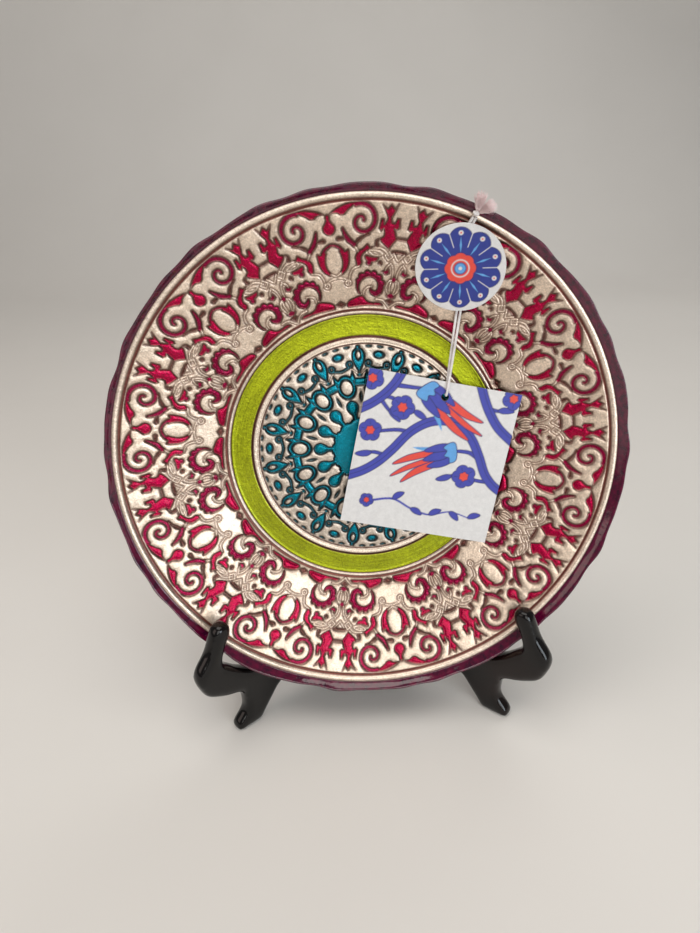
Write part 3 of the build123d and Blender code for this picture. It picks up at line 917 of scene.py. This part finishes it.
def card_print(x, y):
    """Vines with tulips and flowers, over a small spray."""
    art = Print(x, y)
    for twig in TWIGS:
        art.twig(twig)
    for points, widths in STALKS:
        art.line(points, widths)
    for twig in TWIGS_OVER_STALKS:
        art.twig(twig)
    for points in (VINE, VINE_LEFT, VINE_RIGHT):
        art.line(points, [2.0])
        art.line([(a + 0.5, b + 0.5) for a, b in points], [0.16], INK_DARK, None)
    art.tulip(-10.6, 34.8, -33.0, 1.1)
    art.tulip(12.2, 6.4, 208.0, 1.0)
    for flower in FLOWERS:
        art.flower(*flower)
    art.line(SPRAY, [0.6, 0.5, 0.3], outline=None)
    for (cx, cy), turn in zip(SPRAY[1:], (38, -24, 30, -38, 20)):
        art.shape(SPRAY_LEAF, (cx, cy, turn, 1.0))
    art.flower(-27.0, -26.4, 3.4, 0.2)
    return art.colour


def label_print(x, y):
    """A plain round flower with two rings of petals."""
    art = Print(x, y)
    radius, angle = np.hypot(x, y), np.arctan2(x, y)
    outer = np.abs(np.cos(angle * 5)) ** 0.7
    art.ink(radius - (15.4 + 2.9 * outer), LABEL_BLUE, INK_DARK)
    gap = np.abs(np.cos(angle * 5)) * radius / 5
    art.ink(np.maximum(gap - 0.16, 10.0 - radius), PAPER)
    petal = np.abs(np.sin(angle * 5)) * radius / 5
    art.ink(np.maximum(petal - 0.5 * (1 - np.abs(radius - 10.6) / 3.4), np.abs(radius - 10.6) - 3.4), INK_SKY)
    tips = np.hypot(petal, (radius - 16.0))
    art.ink(tips - 1.05, PAPER)
    art.ink(tips - 0.42, INK_CORAL)
    art.ink(radius - (6.3 + 0.7 * np.abs(np.cos(angle * 4))), INK_CORAL, INK_DARK)
    art.ink(np.abs(radius - 3.9) - 0.28, PAPER)
    art.ink(radius - 2.4, INK_SKY, INK_DARK)
    art.ink(radius - 0.8, PAPER)
    return art.colour


def grid_lines(low, high, middle, block, cell):
    """Positions from low to high with an even block about the middle."""
    sides = [np.linspace(low, middle - block, int((middle - block - low) / cell) + 1)[:-1]]
    sides.append(np.linspace(middle - block, middle + block, 2 * round(block / cell) + 1))
    sides.append(np.linspace(middle + block, high, int((high - middle - block) / cell) + 1)[1:])
    return np.concatenate(sides)


def card_faces(solid):
    """Quads of a sheet over a grid of cells, of which only the solid ones are there: front, back, edges."""
    rows, columns = solid.shape[0] + 1, solid.shape[1] + 1
    count = rows * columns
    index = np.arange(count).reshape(rows, columns)
    corners = [index[:-1, :-1], index[:-1, 1:], index[1:, 1:], index[1:, :-1]]
    front = np.stack([c[solid] for c in corners], 1)
    edges = np.concatenate([front[:, [i, (i + 1) % 4]] for i in range(4)])
    keys = edges[:, 0].astype(np.int64) * count + edges[:, 1]
    twins = edges[:, 1].astype(np.int64) * count + edges[:, 0]
    a, b = edges[~np.isin(keys, twins)].T
    return np.concatenate([front, front[:, ::-1] + count, np.stack([b, a, a + count, b + count], 1)])


def build_card():
    """The card as one closed sheet with its punched hole, printed on the front."""
    cell, block, cut = 0.4, 4.0, 1.6       # the grid's cell, and half the squares about the hole
    us = grid_lines(-CARD_WIDTH / 2, CARD_WIDTH / 2, HOLE_AT[0], block, cell)
    vs = grid_lines(-CARD_HEIGHT / 2, CARD_HEIGHT / 2, HOLE_AT[1], block, cell)
    u, v = np.meshgrid(us, vs)
    du, dv = u - HOLE_AT[0], v - HOLE_AT[1]
    square, distance = np.maximum(np.abs(du), np.abs(dv)), np.maximum(np.hypot(du, dv), 1e-9)
    t = np.clip((square - cut) / (block - cut), 0, 1)
    pull = np.where(square < block, t * distance + (1 - t) * HOLE_RADIUS, distance) / distance
    x, y = HOLE_AT[0] + du * pull, HOLE_AT[1] + dv * pull
    centre_u = (u[:-1, :-1] + u[1:, 1:]) / 2 - HOLE_AT[0]
    centre_v = (v[:-1, :-1] + v[1:, 1:]) / 2 - HOLE_AT[1]
    quads = card_faces(np.maximum(np.abs(centre_u), np.abs(centre_v)) > cut)
    bow = CARD_BOW * (np.cos(x / 24.0 + 0.4) * np.cos(y / 30.0) - 1)
    ax = CARD_CENTRE[0] + x * math.cos(CARD_TURN) - y * math.sin(CARD_TURN)
    ay = CARD_CENTRE[1] + x * math.sin(CARD_TURN) + y * math.cos(CARD_TURN)
    top = np.stack([ax.ravel(), ay.ravel(), (bow - CARD_DEPTH).ravel()], 1)
    used, quads = np.unique(quads, return_inverse=True)
    points = np.concatenate([top, top - (0, 0, CARD_THICK)])[used]
    made = mesh_from("card", to_frame(*points.T), quads.ravel(), np.full(quads.size // 4, 4))
    front = card_print(x, y).reshape(-1, 3)
    set_colour(made, "paint", np.concatenate([front, np.broadcast_to(PAPER, front.shape)])[used])
    made.data.set_sharp_from_angle(angle=SHARP_ANGLE)
    return made


LABEL_CENTRE = (44.2, 87.7)
LABEL_RADIUS, LABEL_THICK, LABEL_STANDOFF = 20.3, 0.6, 2.1


def label_axes():
    """The label's centre and its right, up and out directions, in the plate's frame."""
    x, y = LABEL_CENTRE
    radius, steep = math.hypot(x, y), math.atan(SLOPE)
    out = np.array([-math.sin(steep) * x / radius, -math.sin(steep) * y / radius, math.cos(steep)])
    centre = np.array([x, y, -SLOPE * (GOLD_RADIUS - radius)]) + out * LABEL_STANDOFF
    right = np.cross((0.0, 1.0, 0.0), out)
    right /= np.linalg.norm(right)
    return centre, right, np.cross(out, right), out


def build_label():
    """A round sticker, built ring by ring."""
    rings = Rings()
    theta = around(360)
    bevel = 0.12
    flat = [(r, LABEL_THICK) for r in np.arange(0.3, LABEL_RADIUS - 0.2, 0.36)]
    flat += [(LABEL_RADIUS - bevel, LABEL_THICK), (LABEL_RADIUS, LABEL_THICK - bevel), (LABEL_RADIUS, bevel)]
    flat += [(LABEL_RADIUS - bevel, 0.0), (LABEL_RADIUS * 0.6, 0.0), (LABEL_RADIUS * 0.2, 0.0)]
    for r, z in flat:
        colour = label_print(r * np.sin(theta), r * np.cos(theta)) if z == LABEL_THICK else PAPER
        rings.add(r, z, theta, colour, 0.0, 0.5)
    centre, *axes = label_axes()
    places = centre + np.concatenate(rings.places) @ np.stack(axes)
    made = mesh_from("label", to_frame(*places.T), *rings.faces())
    set_colour(made, "paint", np.concatenate(rings.colour))
    made.data.set_sharp_from_angle(angle=SHARP_ANGLE)
    return made


card = build_card()
card.data.materials.append(paper_material("printed_card", 0.1))
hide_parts("card_tag")
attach(card, "card")

label = build_label()
label.data.materials.append(paper_material("printed_label", 0.3))
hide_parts("round_label")
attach(label, "plate")


# ---- the cord ---------------------------------------------------------------------------------------------
CORD_RADIUS = 0.6
CORD_LAY = 2.6                             # mm in one turn of its strands
KNOT_RADIUS, KNOT_LAY = 0.55, 2.4
LOOP_ROUTE = [(45.9, 69.7, -13.20), (45.7, 66.6, -14.20), (40.55, 34.8, -12.85), (39.4, 27.7, -12.55),
              (39.4, 27.7, -15.45), (40.2, 34.8, -15.3), (43.9, 66.6, -14.60), (44.1, 69.7, -13.50)]
NECK_ROUTES = [[(45.3, 104.2, -1.45), (47.6, 108.3, 1.31)], [(46.9, 103.8, -1.45), (48.9, 107.9, 1.31)]]
KNOT_CENTRE = np.array([48.6, 109.6, 3.3])
FRAY_TIPS = {"left": (49.6, 117.4, 8.4), "right": (55.6, 112.9, 7.9)}


def route_curve(name, points):
    """A smooth curve with the route's points as its control points."""
    data = bpy.data.curves.new(name, "CURVE")
    data.dimensions = "3D"
    data.resolution_u = 24
    spline = data.splines.new("NURBS")
    spline.points.add(len(points) - 1)
    for target, place in zip(spline.points, points):
        target.co = (*place, 1.0)
    spline.order_u = 3
    spline.use_endpoint_u = True
    return bpy.data.objects.new(name, data)


def follow(points):
    """Points along the route's smooth curve, in metres."""
    guide = route_curve("guide", points)
    mesh = bpy.data.meshes.new_from_object(guide)
    line = np.array([v.co[:] for v in mesh.vertices])
    bpy.data.meshes.remove(mesh)
    bpy.data.objects.remove(guide)
    return line


def resample(line, spacing):
    """Evenly spaced points along a line, and how far along it each one is."""
    lengths = np.concatenate([[0], np.cumsum(np.linalg.norm(np.diff(line, axis=0), axis=1))])
    count = max(8, int(lengths[-1] / spacing))
    at = np.linspace(0, lengths[-1], count)
    return np.stack([np.interp(at, lengths, line[:, k]) for k in range(3)], 1), at


def unit(vectors):
    return vectors / np.linalg.norm(vectors, axis=-1, keepdims=True)


def tube(line, side, tangent, grow, closed=False):
    """A tube's points, loops and sizes. grow is its radius, ring by ring and side by side."""
    n, sides = grow.shape
    phi = around(sides)
    a, b = side[:, None], np.cross(tangent, side)[:, None]
    ring = a * (np.cos(phi) * grow)[..., None] + b * (np.sin(phi) * grow)[..., None]
    k = np.arange(sides)
    after = (k + 1) % sides
    loops = []
    for i in range(n if closed else n - 1):
        near, far = i * sides, (i + 1) % n * sides
        loops.append(np.stack([near + k, near + after, far + after, far + k], 1).ravel())
    sizes = [np.full(sides * len(loops), 4)]
    if not closed:
        loops += [k[::-1], (n - 1) * sides + k]
        sizes.append(np.full(2, sides))
    return (line[:, None] + ring).reshape(-1, 3), np.concatenate(loops), np.concatenate(sizes)


def twisted_tube(line, radius, lay, closed=False):
    """A twisted yarn along a line; lay is how far one full turn takes."""
    sides, plies, depth = 18, 3, 0.14
    line, at = resample(line, lay / 14)
    if closed:
        line, at = line[:-1], at[:-1]
    tangent = unit(np.roll(line, -1, 0) - np.roll(line, 1, 0) if closed else np.gradient(line, axis=0))
    side = np.empty_like(tangent)
    last = np.cross(tangent[0], (0.31, 0.2, 0.93))
    for i, t in enumerate(tangent):
        last = unit(last - t * (last @ t))
        side[i] = last
    turn = at[:, None] * 2 * math.pi / lay
    strands = np.abs(np.cos(around(sides)[None] * plies / 2 + turn * plies / 2))
    return tube(line, side, tangent, radius * (1 - depth + depth * strands * 1.6), closed)


def fibre(line, radius):
    """A fine four-sided hair that thins towards its tip."""
    tangent = unit(np.gradient(line, axis=0))
    side = unit(np.cross(tangent, (0.3, 0.5, 0.81)))
    taper = np.linspace(1, 0.6, len(line))[:, None]
    return tube(line, side, tangent, radius * taper * np.ones((1, 4)))


def joined(name, parts):
    """One mesh from several (points, loops, sizes)."""
    points, loops, sizes = zip(*parts)
    starts = np.cumsum([0] + [len(p) for p in points])
    loops = [f + start for f, start in zip(loops, starts)]
    return mesh_from(name, np.concatenate(points), np.concatenate(loops), np.concatenate(sizes))


def knot_line():
    """An overhand knot pulled tight."""
    t = np.linspace(0, 2 * math.pi, 160)
    x, y, z = np.sin(t) + 2 * np.sin(2 * t), np.cos(t) - 2 * np.cos(2 * t), -np.sin(3 * t)
    shape = np.stack([x * 0.42, y * 0.30, z * 0.55], 1)
    return to_frame(*(shape + KNOT_CENTRE).T)


FIBRES = 190                               # in one frayed end
FIBRE_RADIUS = 0.075


def fray(tip, seed):
    """Loose fibres of a cut cord end, opening from the knot to a soft tuft."""
    rng = np.random.default_rng(seed)
    way = np.array(tip) - KNOT_CENTRE
    reach = np.linalg.norm(way)
    way = unit(way)
    a = unit(np.cross(way, (0.2, 0.9, 0.1)))
    b = np.cross(way, a)
    s = np.linspace(0, 1, 8)
    parts = []
    for _ in range(FIBRES):
        angle, spread = rng.uniform(0, 2 * math.pi), math.sqrt(rng.uniform(0, 1))
        length = rng.uniform(0.72, 1.05) * (reach - 1.4)
        open_by = 0.6 * spread + (2.3 * spread) * s**0.8
        bend = rng.uniform(-0.8, 0.8, 2)
        wave = 0.12 * np.sin(s * rng.uniform(6, 14) + rng.uniform(0, 6))
        u = np.cos(angle) * open_by + bend[0] * s * s * 0.7 + wave
        v = np.sin(angle) * open_by + bend[1] * s * s * 0.7 - wave
        along = 1.3 + s * length * math.cos(0.25 * spread)
        line = KNOT_CENTRE + along[:, None] * way + u[:, None] * a + v[:, None] * b
        parts.append(fibre(to_frame(*line.T), FIBRE_RADIUS * MM))
    return parts


yarn = yarn_material("cotton_cord", (0.80, 0.76, 0.75), (0.86, 0.83, 0.82))
fluff = yarn_material("cotton_fibres", (0.92, 0.66, 0.66), (0.95, 0.80, 0.80))


def cord_tube(line):
    return twisted_tube(line, CORD_RADIUS * MM, CORD_LAY * MM)


neck_lines = [to_frame(*np.linspace(*np.array(ends), 12).T) for ends in NECK_ROUTES]
neck = joined("cord_neck_strands", [cord_tube(line) for line in neck_lines])
neck.data.materials.append(yarn)
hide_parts("cord_neck")
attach(neck, "plate")

knot = joined("knot", [twisted_tube(knot_line(), KNOT_RADIUS * MM, KNOT_LAY * MM, closed=True)])
knot.data.materials.append(yarn)
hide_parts("cord_knot")
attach(knot, "plate")

for side, seed in (("left", 11), ("right", 12)):
    tuft = joined("frayed_fibres_" + side, fray(FRAY_TIPS[side], seed))
    tuft.data.materials.append(fluff)
    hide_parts("frayed_end_" + side)
    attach(tuft, "plate")

loop_path = follow([tuple(p) for p in to_frame(*np.array(LOOP_ROUTE).T)])
loop = joined("tag_loop", [cord_tube(loop_path)])
loop.data.materials.append(yarn)
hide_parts("cord_loop")
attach(loop, "tag_cord")


# ---- the stand --------------------------------------------------------------------------------------------
HINGE_KEEP, HINGE_FREE = 17.0, 26.0        # mm from the hinge axis: crisp barrels, then soft edges
FOOT_KEEP = 3.0
BORE_REACH = 2.4                           # the pin's bore keeps its CAD surface
VOXEL = 0.9
SOFTEN_ROUNDS = 26
SOFTEN_LEAST, SOFTEN_MORE = 0.06, 0.5      # share of the way to its neighbours that a point goes each round


def remeshed(source, name):
    """A copy of a CAD part with an even mesh."""
    piece = bpy.data.objects.new(name, source.data.copy())
    bpy.context.scene.collection.objects.link(piece)
    piece.data.materials.clear()
    remesh = piece.modifiers.new("remesh", "REMESH")
    remesh.mode = "VOXEL"
    remesh.voxel_size = VOXEL * MM
    evaluated = piece.evaluated_get(bpy.context.evaluated_depsgraph_get())
    mesh = bpy.data.meshes.new_from_object(evaluated)
    piece.modifiers.clear()
    piece.data = mesh
    return piece


def softened(node_name):
    """A leaf of the stand with its edges rubbed round, as the lacquered wood's are."""
    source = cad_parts[node_name]
    piece = remeshed(source, node_name + "_wood")
    mesh = piece.data
    points = np.empty(len(mesh.vertices) * 3)
    mesh.vertices.foreach_get("co", points)
    points = points.reshape(-1, 3)
    edges = np.empty(len(mesh.edges) * 2, np.int64)
    mesh.edges.foreach_get("vertices", edges)
    ends = edges.reshape(-1, 2)
    here, there = np.concatenate([ends, ends[:, ::-1]]).T
    count = np.bincount(here, minlength=len(points))[:, None]
    reach = np.hypot(points[:, 0], points[:, 1] - (HINGE_Y + SHIFT_Y) * MM) / MM
    free = step(reach, HINGE_KEEP, HINGE_FREE) * step(points[:, 2] / MM, 0.0, FOOT_KEEP)
    weight = (SOFTEN_LEAST + SOFTEN_MORE * free)[:, None]
    for _ in range(SOFTEN_ROUNDS):
        total = np.stack([np.bincount(here, points[there, k], len(points)) for k in range(3)], 1)
        points += weight * (total / count - points)
    surface = BVHTree.FromObject(source, bpy.context.evaluated_depsgraph_get())
    for i in np.flatnonzero(reach < BORE_REACH):
        points[i] = surface.find_nearest(points[i])[0]
    mesh.vertices.foreach_set("co", points.ravel())
    mesh.update()
    mesh.shade_smooth()
    return piece


black = lacquer_material()
for leaf, body in (("stand_leaf_right", "stand"), ("stand_leaf_left", "folding_leaf")):
    wood = softened(leaf)
    wood.data.materials.append(black)
    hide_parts(leaf)
    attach(wood, body)


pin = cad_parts["hinge_pin"].data
pin.materials.clear()
pin.materials.append(brass_material())


# ---- floor, light and camera ------------------------------------------------------------------------------
def backdrop():
    """A pale sweep: floor, a round cove and a wall."""
    half_width, front, cove, wall_top = 3.0, -2.5, 0.6, 2.6
    foot = 0.9
    bends = np.linspace(0.1, math.pi / 2, 16)
    profile_yz = [(front, 0.0), (foot, 0.0)]
    profile_yz += [(foot + cove * math.sin(a), cove - cove * math.cos(a)) for a in bends]
    profile_yz += [(foot + cove, wall_top)]
    points = [(x, y, z) for y, z in profile_yz for x in (-half_width, half_width)]
    count = len(profile_yz) - 1
    loops = [2 * i + corner for i in range(count) for corner in (0, 1, 3, 2)]
    sweep = mesh_from("floor", points, loops, [4] * count)
    sweep.data.materials.append(backdrop_material())


backdrop()


def area_light(name, position, target, size, power, colour):
    data = bpy.data.lights.new(name, "AREA")
    data.shape = "RECTANGLE"
    data.size, data.size_y = size
    data.energy = power
    data.color = colour
    lamp = bpy.data.objects.new(name, data)
    lamp.location = position
    direction = Vector(target) - Vector(position)
    lamp.rotation_mode = "QUATERNION"
    lamp.rotation_quaternion = direction.to_track_quat("-Z", "Y")
    bpy.context.scene.collection.objects.link(lamp)


MIDDLE = (0, 0, 0.13)
SOFT_WHITE = (1.0, 0.98, 0.94)
area_light("window", (0.72, -1.05, 0.32), MIDDLE, (0.5, 0.5), 5.2, (0.84, 0.93, 1.0))
area_light("front", (0.1, -1.5, 0.75), MIDDLE, (1.0, 0.9), 7.6, SOFT_WHITE)
area_light("ceiling", (-0.1, -0.2, 1.25), (0, 0, 0.1), (1.2, 0.8), 8.2, (1.0, 0.96, 0.9))
area_light("left_fill", (-1.1, -0.5, 0.6), MIDDLE, (0.7, 0.7), 2.2, (1.0, 0.80, 0.72))
area_light("back_fill", (0.5, 0.9, 1.1), MIDDLE, (0.8, 0.8), 3.0, (1.0, 0.98, 0.95))

world = bpy.data.worlds.new("studio")
world.use_nodes = True
background = world.node_tree.nodes["Background"]
background.inputs["Color"].default_value = (0.80, 0.78, 0.76, 1)
background.inputs["Strength"].default_value = 0.24
bpy.context.scene.world = world

CAMERA_AT = np.array([-20.20, -295.79 + SHIFT_Y, 296.26])
CAMERA_FORWARD = (0.03446, 0.88689, -0.46070)
CAMERA_UP = (0.03924, 0.45941, 0.88736)
SENSOR, FRAME_WIDTH, FRAME_HEIGHT = 36.0, 700, 933
camera_data = bpy.data.cameras.new("camera")
camera_data.sensor_width = SENSOR
camera_data.lens = SENSOR * FRAME_WIDTH / FRAME_HEIGHT
camera_data.clip_start, camera_data.clip_end = 0.01, 50
camera = bpy.data.objects.new("camera", camera_data)
back = -Vector(CAMERA_FORWARD).normalized()
right = Vector(CAMERA_UP).cross(back).normalized()
up = back.cross(right)
rotation = Matrix((right, up, back)).transposed()
camera.matrix_world = Matrix.Translation(Vector(CAMERA_AT * MM)) @ rotation.to_4x4()
bpy.context.scene.collection.objects.link(camera)
bpy.context.scene.camera = camera
bpy.context.scene.view_settings.view_transform = "Standard"
